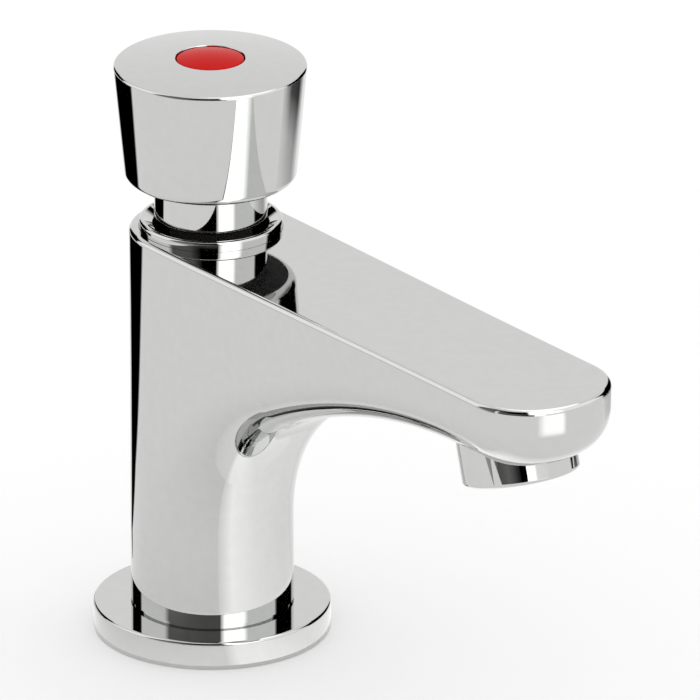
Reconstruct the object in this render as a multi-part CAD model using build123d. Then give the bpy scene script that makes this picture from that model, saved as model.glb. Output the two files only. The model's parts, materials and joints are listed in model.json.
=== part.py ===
# Push timed pillar tap: a cast column with a flat-topped spout, closed by a timed
# cartridge that a sprung push button opens. All sizes are in millimetres.
# Origin: on the column axis, in the plane of the deck that the tap stands on.
# +Z is up, the spout points to -Y, and the tap is symmetric about the plane x = 0.
# Heights add up from the deck, and radii add up from the stem in the middle outward.
from build123d import *
from math import atan2, cos, degrees, pi, radians, sin, sqrt, tan
import os

os.makedirs("parts", exist_ok=True)

# Shared clearances
fixed_gap = 0.02          # between pieces that are screwed or pressed together
slide_gap = 0.05          # radial running fit of a moving piece in its guide
overrun = 1.0             # how far a cut reaches past the face that it starts on

# Base flange and its seal
flange_overhang = 7.9     # past the column's wall
flange_height = 6.1
flange_top_round = 0.7
flange_foot_round = 0.3
flange_lip_width = 2.0
seal_thickness = 2.0
seal_hole_clearance = 0.3

# Threaded tail and its ring
tail_radius = 10.4775     # half of the 20.955 mm major diameter of a G1/2 thread
tail_length = 52.0        # below the deck
tail_wall = 3.9775
tail_neck_step = 0.5075   # the neck above the deck is this much slimmer than the thread
tail_neck_gap = 0.03
tail_screw_in = 16.0      # top of the tail above the deck
tail_tip_chamfer = 1.0
tail_ring_drop = 3.5

# Inlet strainer, in a wider stretch of the tail's bore
strainer_bore_step = 0.4
strainer_bore_depth = 8.0
strainer_rim_gap = 0.8
strainer_rim_thickness = 0.8
strainer_cup_gap = 0.2
strainer_cup_depth = 5.0
strainer_wall = 0.7
strainer_slot_width = 1.2
strainer_slot_height = 3.0
strainer_slot_count = 8
strainer_hole_radius = 0.8
strainer_hole_count = 6
strainer_hole_share = 0.5667  # ring of holes as a share of the cup's inside

# Fixings below the deck
deck_thickness = 12.0
washer_hole_gap = 0.2725
rubber_washer_width = 7.25
rubber_washer_thickness = 3.0
steel_washer_width = 6.75
steel_washer_thickness = 1.5
backnut_wall = 4.5225     # makes the nut 30 mm across its flats
backnut_height = 9.5
backnut_collar_step = 1.5
backnut_collar_height = 1.5

# Inlet chamber between the tail and the seat
inlet_room = 20.5         # from the top of the tail to the shelf under the seat
inlet_pocket_lift = 4.0
seat_ledge = 4.5

# Valve seat, main washer and what holds it
seat_side_gap = 0.1
seat_thickness = 4.0
seat_bore_radius = 5.5
seat_nib_height = 0.8
seat_nib_width = 0.9
washer_overlap = 2.5      # how far the washer covers the seat around its bore
washer_thickness = 3.0
retainer_inset = 1.0
retainer_thickness = 1.6
stem_nut_width = 7.0
stem_nut_height = 3.0
stem_end_past_nut = 0.8

# Spindle and its stem
stem_radius = 3.0
stem_end_radius = 2.0
stem_hole_gap = 0.3
spindle_step = 1.0        # the spindle above the piston is this much thicker
spindle_tapping_past = 2.4

# Piston, cup seal and clip
piston_thickness = 5.0
piston_side_gap = 0.3
piston_headroom = 5.0     # above the piston, under the guide bush
piston_groove_depth = 0.8
piston_groove_height = 1.4
cup_floor = 0.9
cup_wall = 1.0
cup_height = 3.3
clip_width = 1.1
clip_thickness = 0.8
clip_groove_depth = 0.5
clip_mouth = 3.6

# Return spring
spring_length = 14.5      # room between the cartridge's web and the piston
spring_side_gap = 0.3     # between clip and wire
spring_wire = 1.2
spring_quarter_turns = 22

# Metering pin
pin_radius = 0.4
pin_side_gap = 0.8        # between spring and pin
pin_hole_radius = 0.8
pin_hole_wall = 1.1
pin_drop = 18.0
pin_seat_depth = 2.0      # how far the pin is pressed up into the bush

# Cartridge
cylinder_wall = 3.3
cartridge_gap = 0.1
window_lift = 4.5
window_height = 5.0
window_width = 8.0
window_count = 4
window_groove_depth = 1.3
window_groove_margin = 0.5
web_lift = 1.5
web_thickness = 2.0
ring_section = 0.9        # radius of the round section of the cartridge rings
small_ring_section = 0.9  # the same for the spindle and tail rings
groove_width = 2.2
lower_ring_lift = 1.9
upper_ring_drop = 4.0

# Guide bush
bush_shelf_width = 1.3
bush_flange_gap = 0.3
bush_flange_thickness = 3.0
bush_tube_wall = 4.6
bush_top_gap = 5.9        # left over the bush when the button is pushed home
bush_gland_depth = 4.0
bush_top_chamfer = 0.6
gland_gap = 0.03

# Collar nut around the neck
collar_skirt_height = 8.75
collar_skirt_wall = 1.5
collar_rim_step = 1.3
collar_height = 2.0
collar_edge_round = 0.7
collar_dish_depth = 1.2     # sloping down from the rim to the bore
collar_dish_width = 1.9
spotface_depth = 0.3
spotface_gap = 0.1

# Neck, push cap and indicator
button_travel = 5.5
neck_gap = 0.37           # between neck and collar
neck_wall = 2.1
neck_lift = 0.65          # lower end of the neck above the collar
neck_show = 8.23          # from there up to the cap
neck_edge_round = 0.9
neck_socket_depth = 9.0
cap_height = 25.07
cap_overhang = 8.35       # past the neck, at the top
cap_draft = 4.46          # degrees
cap_bottom_round = 2.0
cap_top_round = 0.6
cap_crown = 1.6           # rise of the top from its edge to the middle
indicator_radius = 7.0
indicator_gap = 0.25
indicator_recess_depth = 4.2
indicator_edge_height = 3.8
indicator_rise = 0.7

# Cap screw
screw_pocket_depth = 5.57  # below the floor of the indicator's recess
screw_pocket_gap = 0.3
screw_head_radius = 4.0
screw_head_height = 2.6
screw_radius = 2.0
screw_length = 15.5
screw_socket_width = 3.0
screw_socket_depth = 1.4

# Column
column_set_back = 2.1     # from the rim of the collar nut out to the column's wall
column_wall = 3.9         # around the inlet chamber
foot_spigot_step = 3.1
foot_groove_height = 0.6
foot_groove_depth = 0.6
foot_top_height = 16.0
elbow_start_height = 25.5

# Spout
top_slope = 0.7           # degrees that the top face falls toward the tip
top_edge_round = 1.1
spout_depth = 16.65       # from the top face on the axis down to the underside
spout_tip = 121.2         # distance from the column axis to the tip
nose_length = 24.86       # end of the spout with parallel walls and a level underside
nose_half_width = 16.2
nose_corner_inset = 2.2
nose_front_extra = 6.0    # the front arc is this much wider than the corner arcs
belly_radius = 10.0       # rounding between side wall and underside
belly_settled_turn = 75.0
column_flat = 0.2         # half width of the narrow flat where the belly starts
elbow_turn = 63.0         # degrees
loft_steps = 10           # sections between the ends of each stretch of the spout
trim_margin = 4.95        # stock above the top face, cut away again

# Water channel along the spout
channel_wall = 4.9
channel_height = 6.5
channel_width = 12.0
channel_start_turn = 30.0
port_margin = 2.0         # around the cartridge's windows

# Outlet nozzle, in its own tilted frame from the rim upward
nozzle_tilt = 15.2        # degrees from vertical
nozzle_set_back = 18.37   # rim centre behind the tip of the spout
nozzle_drop = 6.43        # rim centre under the spout's underside
nozzle_radius = 12.2
nozzle_wall = 1.9
nozzle_rim_round = 0.9
nozzle_shoulder = 2.4
nozzle_spigot_step = 2.3
nozzle_spigot_length = 3.5
nozzle_spigot_wall = 2.3
nozzle_washer_width = 1.9
nozzle_washer_thickness = 1.0
outlet_pool_inset = 1.4
outlet_pool_depth = 2.0
straightener_recess = 1.1
straightener_thickness = 3.4
straightener_rim = 1.1
straightener_web = 0.5
straightener_rings = 3
regulator_thickness = 2.6
regulator_hole_radius = 1.3
regulator_rim = 3.8
regulator_hole_count = 6
insert_gap = 1.5          # over the regulator


def disc(radius, low, high):
    """Upright round bar."""
    return extrude(Plane.XY.offset(low) * Circle(radius), high - low)


def ring(outer, inner, low, high):
    """Upright tube."""
    return extrude(Plane.XY.offset(low) * (Circle(outer) - Circle(inner)), high - low)


def hexagon(across_flats, low, high):
    """Upright hexagonal bar."""
    outline = RegularPolygon(across_flats / 2, 6, major_radius=False)
    return extrude(Plane.XY.offset(low) * outline, high - low)


def circles_at(solid, height, radius):
    """Circular edges of one radius in one level plane."""
    return [edge for edge in solid.edges().filter_by(GeomType.CIRCLE)
            if abs(edge.arc_center.Z - height) < fixed_gap
            and abs(edge.radius - radius) < fixed_gap]


def o_ring(middle_radius, section_radius, height):
    """Rubber ring of round section."""
    return Pos(0, 0, height) * Torus(middle_radius, section_radius)


def save(solid, name):
    """Write one sub-part to its own file."""
    solid.label = name
    export_step(solid, os.path.join("parts", name + ".step"))


# Radii, from the stem outward
spindle_radius = stem_radius + spindle_step
clip_radius = stem_radius + clip_width
spring_radius = clip_radius + spring_side_gap + spring_wire / 2
pin_offset = spring_radius + spring_wire / 2 + pin_side_gap + pin_radius
piston_radius = pin_offset + pin_hole_radius + pin_hole_wall
cylinder_radius = piston_radius + piston_side_gap
cartridge_radius = cylinder_radius + cylinder_wall
cartridge_bore_radius = cartridge_radius + cartridge_gap
seat_radius = cartridge_radius - seat_side_gap
collar_thread_radius = cartridge_bore_radius + bush_shelf_width
bush_flange_radius = collar_thread_radius - bush_flange_gap
bush_tube_radius = spindle_radius + bush_tube_wall
collar_bore_radius = collar_thread_radius - collar_skirt_wall
neck_radius = collar_bore_radius - neck_gap
collar_radius = collar_thread_radius + collar_rim_step
column_radius = collar_radius + column_set_back
flange_radius = column_radius + flange_overhang
cap_top_radius = neck_radius + cap_overhang
inlet_pocket_radius = column_radius - column_wall
foot_spigot_radius = column_radius - foot_spigot_step
washer_radius = seat_bore_radius + washer_overlap
retainer_radius = washer_radius - retainer_inset

# Radii of the tail and what goes with it
tail_bore_radius = tail_radius - tail_wall
tail_neck_radius = tail_radius - tail_neck_step
inlet_bore_radius = tail_neck_radius + tail_neck_gap
strainer_bore_radius = tail_bore_radius + strainer_bore_step
strainer_rim_radius = inlet_bore_radius - strainer_rim_gap
strainer_cup_radius = strainer_bore_radius - strainer_cup_gap
strainer_hole_ring = strainer_hole_share * (strainer_cup_radius - strainer_wall)
washer_bore_radius = tail_radius + washer_hole_gap
rubber_washer_radius = washer_bore_radius + rubber_washer_width
steel_washer_radius = washer_bore_radius + steel_washer_width
backnut_across_flats = 2 * (tail_radius + backnut_wall)
backnut_collar_radius = backnut_across_flats / 2 + backnut_collar_step

# Heights, from the deck upward
foot_height = seal_thickness
tail_ring_height = tail_screw_in - tail_ring_drop
seat_shelf_height = tail_screw_in + inlet_room
seat_top = seat_shelf_height + seat_thickness
lower_ring_height = seat_top + lower_ring_lift
window_floor_height = seat_top + window_lift
web_height = window_floor_height + window_height + web_lift
web_top = web_height + web_thickness
piston_floor_height = web_top + spring_length
piston_top = piston_floor_height + piston_thickness
spindle_shoulder = piston_top + cup_floor
bush_shelf_height = piston_top + piston_headroom
bush_flange_top = bush_shelf_height + bush_flange_thickness
collar_seat_height = bush_flange_top + collar_skirt_height
top_height = collar_seat_height + spotface_depth
trim_height = top_height + trim_margin
collar_top_height = top_height + collar_height
neck_bottom_height = collar_top_height + neck_lift
cap_bottom_height = neck_bottom_height + neck_show
cap_top_height = cap_bottom_height + cap_height
cap_crown_height = cap_top_height + cap_crown
neck_top_height = cap_bottom_height + neck_socket_depth
bush_top_height = neck_top_height - button_travel - bush_top_gap
indicator_floor = cap_crown_height - indicator_recess_depth
screw_seat_height = indicator_floor - screw_pocket_depth
tapping_floor = screw_seat_height - screw_length - spindle_tapping_past

# Heights of the closing end of the stem, from the seat downward
washer_top = seat_shelf_height - seat_nib_height
retainer_top = washer_top - washer_thickness
stem_nut_top = retainer_top - retainer_thickness
stem_end = stem_nut_top - stem_nut_height - stem_end_past_nut

# Shape of the spout's underside: two tangent bends, upright at the column and level at the
# nose, whose radii follow from where they start and end
spout_underside_height = top_height - spout_depth
nose_start = spout_tip - nose_length
nose_corner_radius = nose_half_width - nose_corner_inset
nose_front_radius = nose_corner_radius + nose_front_extra
bend_reach = nose_start - column_radius
bend_rise = spout_underside_height - elbow_start_height
elbow_sine = sin(radians(elbow_turn))
elbow_cosine = cos(radians(elbow_turn))
bend_share = 1 / (elbow_sine + elbow_cosine - 1)
elbow_radius = (bend_rise * elbow_cosine - bend_reach * (1 - elbow_sine)) * bend_share
sweep_radius = (bend_reach * elbow_sine - bend_rise * (1 - elbow_cosine)) * bend_share

# Nozzle and its inserts
nozzle_reach = spout_tip - nozzle_set_back
nozzle_rim_height = spout_underside_height - nozzle_drop
nozzle_bore_radius = nozzle_radius - nozzle_wall
nozzle_spigot_radius = nozzle_radius - nozzle_spigot_step
nozzle_throat_radius = nozzle_spigot_radius - nozzle_spigot_wall
outlet_pool_radius = nozzle_spigot_radius - outlet_pool_inset
straightener_top = straightener_recess + straightener_thickness
nozzle_bore_depth = straightener_top + regulator_thickness + insert_gap
nozzle_socket_depth = nozzle_bore_depth + nozzle_shoulder
straightener_reach = nozzle_bore_radius - straightener_rim + straightener_web / 2
straightener_pitch = straightener_reach / (straightener_rings + 1 / 2)
straightener_hole_radius = (straightener_pitch - straightener_web) / 2
regulator_hole_ring = nozzle_bore_radius - regulator_rim - regulator_hole_radius


def wall_half_width(reach):
    """Half width between the side walls at a distance in front of the axis."""
    share = min(max(reach / nose_start, 0), 1)
    return nose_half_width + (column_radius - nose_half_width) * (1 + cos(pi * share)) / 2


def belly_round(turn):
    """Rounding of the underside, from the column's own radius to that of the spout."""
    share = min(max(turn / belly_settled_turn, 0), 1)
    ease = share * share * (3 - 2 * share)
    start = column_radius - column_flat
    return start + (belly_radius - start) * ease


def underside_point(turn):
    """Reach and height of the line under the spout where it has turned so many degrees."""
    if turn <= elbow_turn:
        reach = column_radius + elbow_radius * (1 - cos(radians(turn)))
        return reach, elbow_start_height + elbow_radius * sin(radians(turn))
    left = radians(90.0 - turn)
    height = spout_underside_height - sweep_radius * (1 - cos(left))
    return nose_start - sweep_radius * sin(left), height


def belly_section(reach, height, turn):
    """Section square to the underside, closed at the axis plane or above the top face."""
    inward_y = cos(radians(turn))
    inward_z = sin(radians(turn))
    rounding = belly_round(turn)
    if reach * inward_z < (trim_height - height) * inward_y:
        depth = reach / inward_y
    else:
        depth = (trim_height - height) / inward_z

    def place(side, inset, inward):
        from_axis = reach - inward * inward_y
        half_width = wall_half_width(from_axis) - inset
        return Vector(side * half_width, -from_axis, height + inward * inward_z)

    inset = rounding * (1 - sin(radians(45)))
    left_wall_end = place(-1, 0, rounding)
    left_floor_end = place(-1, rounding, 0)
    right_floor_end = place(1, rounding, 0)
    right_wall_end = place(1, 0, rounding)
    return make_face([
        Line(place(-1, 0, depth), left_wall_end),
        ThreePointArc(left_wall_end, place(-1, inset, inset), left_floor_end),
        Line(left_floor_end, right_floor_end),
        ThreePointArc(right_floor_end, place(1, inset, inset), right_wall_end),
        Line(right_wall_end, place(1, 0, depth)),
        Line(place(1, 0, depth), place(-1, 0, depth)),
    ])


def column_back(low, high):
    """Half of the column behind the axis plane."""
    window = Pos(0, column_radius) * Rectangle(2 * column_radius, 2 * column_radius)
    return extrude(Plane.XY.offset(low) * (Circle(column_radius) & window), high - low)


def spout_nose():
    """End of the spout: parallel walls, a rounded plan and a rounded underside."""
    front_centre = spout_tip - nose_front_radius
    corner_x = nose_half_width - nose_corner_radius
    radius_step = nose_front_radius - nose_corner_radius
    corner_centre = front_centre + sqrt(radius_step ** 2 - corner_x ** 2)
    meet_x = corner_x * nose_front_radius / radius_step
    meet_y = front_centre + (corner_centre - front_centre) * nose_front_radius / radius_step
    diagonal = nose_corner_radius * sin(radians(45))
    middle_x = corner_x + diagonal
    middle_y = corner_centre + diagonal
    outline = make_face([
        Line((nose_half_width, -nose_start), (nose_half_width, -corner_centre)),
        ThreePointArc((nose_half_width, -corner_centre), (middle_x, -middle_y),
                      (meet_x, -meet_y)),
        ThreePointArc((meet_x, -meet_y), (0, -spout_tip), (-meet_x, -meet_y)),
        ThreePointArc((-meet_x, -meet_y), (-middle_x, -middle_y),
                      (-nose_half_width, -corner_centre)),
        Line((-nose_half_width, -corner_centre), (-nose_half_width, -nose_start)),
        Line((-nose_half_width, -nose_start), (nose_half_width, -nose_start)),
    ])
    height = trim_height - spout_underside_height
    block = extrude(Plane.XY.offset(spout_underside_height) * outline, height)
    rim = [edge for edge in block.edges()
           if abs(edge.center().Z - spout_underside_height) < fixed_gap
           and edge.center().Y < -nose_start - fixed_gap]
    return fillet(rim, belly_radius)


def body_outside():
    """Column and spout with their flat top and its rounded edge, before any chamber is cut."""
    axis_turn = degrees(atan2(trim_height - elbow_start_height, column_radius + elbow_radius))
    middle_height = (foot_top_height + elbow_start_height) / 2
    lower_sections = [belly_section(column_radius, foot_top_height, 0),
                      belly_section(column_radius, middle_height, 0)]
    upper_sections = []
    for step in range(loft_steps + 1):
        low_turn = axis_turn * step / loft_steps
        lower_sections.append(belly_section(*underside_point(low_turn), low_turn))
        high_turn = axis_turn + (90.0 - axis_turn) * step / loft_steps
        upper_sections.append(belly_section(*underside_point(high_turn), high_turn))
    lower = loft(lower_sections).solids()[0]
    upper = loft(upper_sections).solids()[0]
    spout = lower.fuse(upper, glue=True)
    shape = column_back(foot_top_height, trim_height) + spout
    shape = shape + spout_nose()
    foot_front = extrude(belly_section(column_radius, flange_height, 0),
                         foot_top_height - flange_height, dir=(0, 0, 1))
    shape = shape + (foot_front + column_back(flange_height, foot_top_height))
    fall = tan(radians(top_slope))
    past = spout_tip + overrun
    above = make_face(Polyline((0, past, top_height + fall * past), (0, past, 2 * trim_height),
                               (0, -past, 2 * trim_height),
                               (0, -past, top_height - fall * past), close=True))
    shape = shape - extrude(above, column_radius + overrun, both=True)
    top_face = shape.faces().sort_by(Axis.Z)[-1]
    return fillet(top_face.outer_wire().edges(), top_edge_round)


def channel():
    """Water way from the cartridge chamber, along the spout, to the pool over the nozzle."""
    turns = [channel_start_turn, (channel_start_turn + elbow_turn) / 2, elbow_turn,
             (elbow_turn + 90.0) / 2, 90.0]

    def along(depth):
        points = []
        for turn in turns:
            reach, height = underside_point(turn)
            points.append((0, -reach + depth * cos(radians(turn)),
                           height + depth * sin(radians(turn))))
        return points

    floor = along(channel_wall)
    ceiling = along(channel_wall + channel_height)
    inside = -cylinder_radius
    end = -nozzle_reach + nozzle_radius / 2
    port_floor = window_floor_height - port_margin
    port_top = window_floor_height + window_height + port_margin
    outline = [(0, inside, port_floor)] + floor
    outline += [(0, end, floor[-1][2]), (0, end, ceiling[-1][2])]
    outline += list(reversed(ceiling))
    outline += [(0, inside, port_top)]
    return extrude(make_face(Polyline(*outline, close=True)), channel_width / 2, both=True)


def in_nozzle(solid):
    """Carry a solid from the nozzle's own upright frame to its place under the spout."""
    return Pos(0, -nozzle_reach, nozzle_rim_height) * Rot(-nozzle_tilt, 0, 0) * solid


def body():
    """Cast body with its chambers, thread bores, water channel and outlet socket."""
    shape = body_outside()
    shape = shape + disc(foot_spigot_radius, foot_height, flange_height)
    groove_top = flange_height + foot_groove_height
    shape = shape - ring(column_radius + overrun, column_radius - foot_groove_depth,
                         flange_height - fixed_gap, groove_top)
    high = top_height + overrun
    shape = shape - disc(inlet_bore_radius, foot_height - overrun, seat_shelf_height + overrun)
    shape = shape - disc(inlet_pocket_radius, tail_screw_in + inlet_pocket_lift,
                         seat_shelf_height - seat_ledge)
    shape = shape - disc(cartridge_bore_radius, seat_shelf_height, high)
    shape = shape - disc(collar_thread_radius, bush_shelf_height, high)
    shape = shape - disc(collar_radius + spotface_gap, collar_seat_height, high)
    shape = shape - channel()
    spigot_top = nozzle_socket_depth + nozzle_spigot_length + nozzle_washer_thickness
    socket = disc(nozzle_radius + fixed_gap, -overrun, nozzle_socket_depth)
    socket = socket + disc(nozzle_spigot_radius + fixed_gap, 0, spigot_top)
    socket = socket + disc(outlet_pool_radius, 0, spigot_top + outlet_pool_depth)
    return shape - in_nozzle(socket)


def base_flange():
    """Round cover plate under the column, recessed below for its seal."""
    plate = disc(flange_radius, 0, flange_height)
    plate = fillet(circles_at(plate, flange_height, flange_radius), flange_top_round)
    plate = fillet(circles_at(plate, 0, flange_radius), flange_foot_round)
    plate = plate - disc(foot_spigot_radius + fixed_gap, -overrun, flange_height + overrun)
    return plate - disc(flange_radius - flange_lip_width, -overrun, seal_thickness)


def base_seal():
    """Soft ring between the flange and the deck."""
    return ring(flange_radius - flange_lip_width - fixed_gap,
                foot_spigot_radius + seal_hole_clearance, 0, seal_thickness)


def threaded_tail():
    """Hollow G1/2 shank that goes through the deck and screws up into the body."""
    bar = disc(tail_radius, -tail_length, foot_height)
    bar = chamfer(circles_at(bar, -tail_length, tail_radius), tail_tip_chamfer)
    bar = bar + disc(tail_neck_radius, foot_height, tail_screw_in)
    bar = bar - disc(tail_bore_radius, -tail_length - overrun, tail_screw_in + overrun)
    bar = bar - disc(strainer_bore_radius, tail_screw_in - strainer_bore_depth,
                     tail_screw_in + overrun)
    groove_floor = tail_neck_radius - 2 * small_ring_section
    return bar - ring(tail_neck_radius + overrun, groove_floor,
                      tail_ring_height - groove_width / 2, tail_ring_height + groove_width / 2)


def tail_o_ring():
    """Ring that seals the tail in the body."""
    return o_ring(tail_neck_radius - small_ring_section, small_ring_section - fixed_gap,
                  tail_ring_height)


def inlet_strainer():
    """Slotted cup that hangs in the tail and keeps grit out of the cartridge."""
    top = tail_screw_in + strainer_rim_thickness
    floor = tail_screw_in - strainer_cup_depth
    cup = disc(strainer_rim_radius, tail_screw_in, top) + disc(strainer_cup_radius, floor, top)
    cup = cup - disc(strainer_cup_radius - strainer_wall, floor + strainer_wall, top + overrun)
    slot_middle = floor + strainer_wall + strainer_slot_height / 2
    slot = Box(2 * strainer_cup_radius, strainer_slot_width, strainer_slot_height,
               align=(Align.MIN, Align.CENTER, Align.CENTER))
    for index in range(strainer_slot_count):
        turn = 360.0 * index / strainer_slot_count
        cup = cup - Pos(0, 0, slot_middle) * Rot(0, 0, turn) * slot
    hole = disc(strainer_hole_radius, floor - overrun, floor + 2 * strainer_wall)
    for index in range(strainer_hole_count):
        cup = cup - Rot(0, 0, 360.0 * index / strainer_hole_count) * Pos(
            strainer_hole_ring, 0, 0) * hole
    return cup - hole


def rubber_washer():
    """Soft washer against the underside of the deck."""
    top = -deck_thickness
    return ring(rubber_washer_radius, washer_bore_radius, top - rubber_washer_thickness, top)


def steel_washer():
    """Flat washer between the rubber one and the backnut."""
    top = -deck_thickness - rubber_washer_thickness
    return ring(steel_washer_radius, washer_bore_radius, top - steel_washer_thickness, top)


def backnut():
    """Flanged hexagon nut that clamps the tap to the deck."""
    top = -deck_thickness - rubber_washer_thickness - steel_washer_thickness
    nut = hexagon(backnut_across_flats, top - backnut_height, top - backnut_collar_height)
    nut = nut + disc(backnut_collar_radius, top - backnut_collar_height, top)
    return nut - disc(tail_radius + fixed_gap, top - backnut_height - overrun, top + overrun)


def valve_seat():
    """Brass seat ring with a raised nib for the main washer to close against."""
    seat = ring(seat_radius, seat_bore_radius, seat_shelf_height, seat_top)
    return seat + ring(seat_bore_radius + seat_nib_width, seat_bore_radius, washer_top,
                       seat_shelf_height)


def cartridge_body():
    """Cylinder of the timing chamber above, outlet chamber with windows below."""
    tube = ring(cartridge_radius, cylinder_radius, seat_top, bush_shelf_height)
    tube = tube + ring(cylinder_radius + overrun, stem_radius + stem_hole_gap, web_height,
                       web_top)
    groove_top = window_floor_height + window_height + window_groove_margin
    tube = tube - ring(cartridge_radius + overrun, cartridge_radius - window_groove_depth,
                       window_floor_height - window_groove_margin, groove_top)
    window = Box(2 * cartridge_radius, window_width, window_height,
                 align=(Align.MIN, Align.CENTER, Align.MIN))
    for index in range(window_count):
        turn = -90.0 + 360.0 * index / window_count
        tube = tube - Pos(0, 0, window_floor_height) * Rot(0, 0, turn) * window
    for height in cartridge_ring_heights():
        tube = tube - ring(cartridge_radius + overrun, cartridge_radius - 2 * ring_section,
                           height - groove_width / 2, height + groove_width / 2)
    return tube


def cartridge_ring_heights():
    """Heights of the two ring grooves on the cartridge."""
    return lower_ring_height, bush_shelf_height - upper_ring_drop


def cartridge_o_rings():
    """The two rings that seal the cartridge in the body."""
    rings = [o_ring(cartridge_radius - ring_section, ring_section - fixed_gap, height)
             for height in cartridge_ring_heights()]
    return Compound(children=rings)


def guide_bush():
    """Guide of the spindle, with a flange that the collar nut clamps."""
    bush = disc(bush_flange_radius, bush_shelf_height, bush_flange_top)
    tube = disc(bush_tube_radius, bush_flange_top - fixed_gap, bush_top_height)
    tube = chamfer(circles_at(tube, bush_top_height, bush_tube_radius), bush_top_chamfer)
    bush = bush + tube
    bush = bush - disc(spindle_radius + slide_gap, bush_shelf_height - overrun,
                       bush_top_height + overrun)
    gland_radius = spindle_radius + gland_gap + 2 * small_ring_section
    gland_middle = bush_top_height - bush_gland_depth
    bush = bush - disc(gland_radius, gland_middle - groove_width / 2,
                       gland_middle + groove_width / 2)
    return bush - Pos(pin_offset, 0, 0) * disc(pin_radius + fixed_gap,
                                               bush_shelf_height - overrun,
                                               bush_shelf_height + pin_seat_depth)


def spindle_o_ring():
    """Ring in the bush that wipes the spindle."""
    return o_ring(spindle_radius + gland_gap + small_ring_section,
                  small_ring_section - fixed_gap / 2, bush_top_height - bush_gland_depth)


def metering_pin():
    """Wire that keeps the piston's timing hole clear."""
    low = bush_shelf_height - pin_drop
    return Pos(pin_offset, 0, 0) * disc(pin_radius, low, bush_shelf_height + pin_seat_depth)


def collar_nut():
    """Polished nut around the neck, screwed into the top of the body."""
    rim = disc(collar_radius, collar_seat_height, collar_top_height)
    rim = fillet(circles_at(rim, collar_top_height, collar_radius), collar_edge_round)
    skirt = disc(collar_thread_radius - fixed_gap, bush_flange_top, collar_seat_height)
    dish_slope = collar_dish_width / collar_dish_depth
    outline = make_face(Polyline((0, 0, collar_top_height - collar_dish_depth),
                                 (collar_bore_radius, 0, collar_top_height - collar_dish_depth),
                                 (collar_bore_radius + collar_dish_width + overrun * dish_slope,
                                  0, collar_top_height + overrun),
                                 (0, 0, collar_top_height + overrun), close=True))
    nut = rim + skirt - revolve(outline, Axis.Z)
    return nut - disc(collar_bore_radius, bush_flange_top - overrun,
                      collar_top_height + overrun)


def push_cap():
    """Tapered push button with a crowned top, bored below for the neck and pocketed above."""
    flare = tan(radians(cap_draft))
    bottom_radius = cap_top_radius - cap_height * flare
    crown_radius = (cap_top_radius ** 2 + cap_crown ** 2) / (2 * cap_crown)
    outline = make_face(Polyline((0, 0, cap_bottom_height),
                                 (bottom_radius, 0, cap_bottom_height),
                                 (cap_top_radius + cap_crown * flare, 0, cap_crown_height),
                                 (0, 0, cap_crown_height), close=True))
    crown = Pos(0, 0, cap_crown_height - crown_radius) * Sphere(crown_radius)
    cap = revolve(outline, Axis.Z) & crown
    cap = fillet(circles_at(cap, cap_bottom_height, bottom_radius), cap_bottom_round)
    cap = fillet(circles_at(cap, cap_top_height, cap_top_radius), cap_top_round)
    cap = cap - disc(neck_radius + fixed_gap, cap_bottom_height - overrun, neck_top_height)
    cap = cap - disc(screw_radius + screw_pocket_gap, neck_top_height - overrun,
                     indicator_floor)
    cap = cap - disc(screw_head_radius + screw_pocket_gap, screw_seat_height,
                     indicator_floor)
    return cap - disc(indicator_radius + indicator_gap, indicator_floor,
                      cap_crown_height + overrun)


def neck_sleeve():
    """Neck under the button, which slides down into the collar."""
    sleeve = disc(neck_radius, neck_bottom_height, neck_top_height)
    sleeve = fillet(circles_at(sleeve, neck_bottom_height, neck_radius), neck_edge_round)
    return sleeve - disc(neck_radius - neck_wall, neck_bottom_height - overrun,
                         neck_top_height + overrun)


def indicator_disc():
    """Domed red disc that covers the screw."""
    edge_top = indicator_floor + indicator_edge_height
    dome_radius = (indicator_radius ** 2 + indicator_rise ** 2) / (2 * indicator_rise)
    plug = disc(indicator_radius, indicator_floor, edge_top + indicator_rise)
    dome = Pos(0, 0, edge_top + indicator_rise - dome_radius) * Sphere(dome_radius)
    return plug & dome


def cap_screw():
    """Screw that holds the button on the spindle."""
    head_top = screw_seat_height + screw_head_height
    screw = disc(screw_head_radius, screw_seat_height, head_top)
    screw = screw + disc(screw_radius, screw_seat_height - screw_length, screw_seat_height)
    return screw - hexagon(screw_socket_width, head_top - screw_socket_depth,
                           head_top + overrun)


def spindle():
    """Rod that carries the piston and the main washer."""
    rod = disc(spindle_radius, spindle_shoulder, neck_top_height)
    rod = rod + disc(stem_radius, washer_top, spindle_shoulder)
    rod = rod + disc(stem_end_radius, stem_end, washer_top)
    rod = rod - disc(screw_radius + fixed_gap, tapping_floor, neck_top_height + overrun)
    return rod - ring(stem_radius + overrun, stem_radius - clip_groove_depth,
                      piston_floor_height - clip_thickness, piston_floor_height)


def piston():
    """Piston of the timing chamber, with its timing hole."""
    block = ring(piston_radius, stem_radius + fixed_gap, piston_floor_height, piston_top)
    middle = (piston_floor_height + piston_top) / 2
    block = block - ring(piston_radius + overrun, piston_radius - piston_groove_depth,
                         middle - piston_groove_height / 2, middle + piston_groove_height / 2)
    return block - Pos(pin_offset, 0, 0) * disc(pin_hole_radius, piston_floor_height - overrun,
                                                piston_top + overrun)


def piston_cup_seal():
    """Rubber cup whose lip runs on the cylinder."""
    lip_radius = cylinder_radius - slide_gap
    cup = ring(lip_radius, stem_radius + fixed_gap, piston_top, spindle_shoulder)
    cup = cup + ring(lip_radius, lip_radius - cup_wall, piston_top, piston_top + cup_height)
    return cup - Pos(pin_offset, 0, 0) * disc(pin_hole_radius, piston_top - overrun,
                                              spindle_shoulder + overrun)


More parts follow.
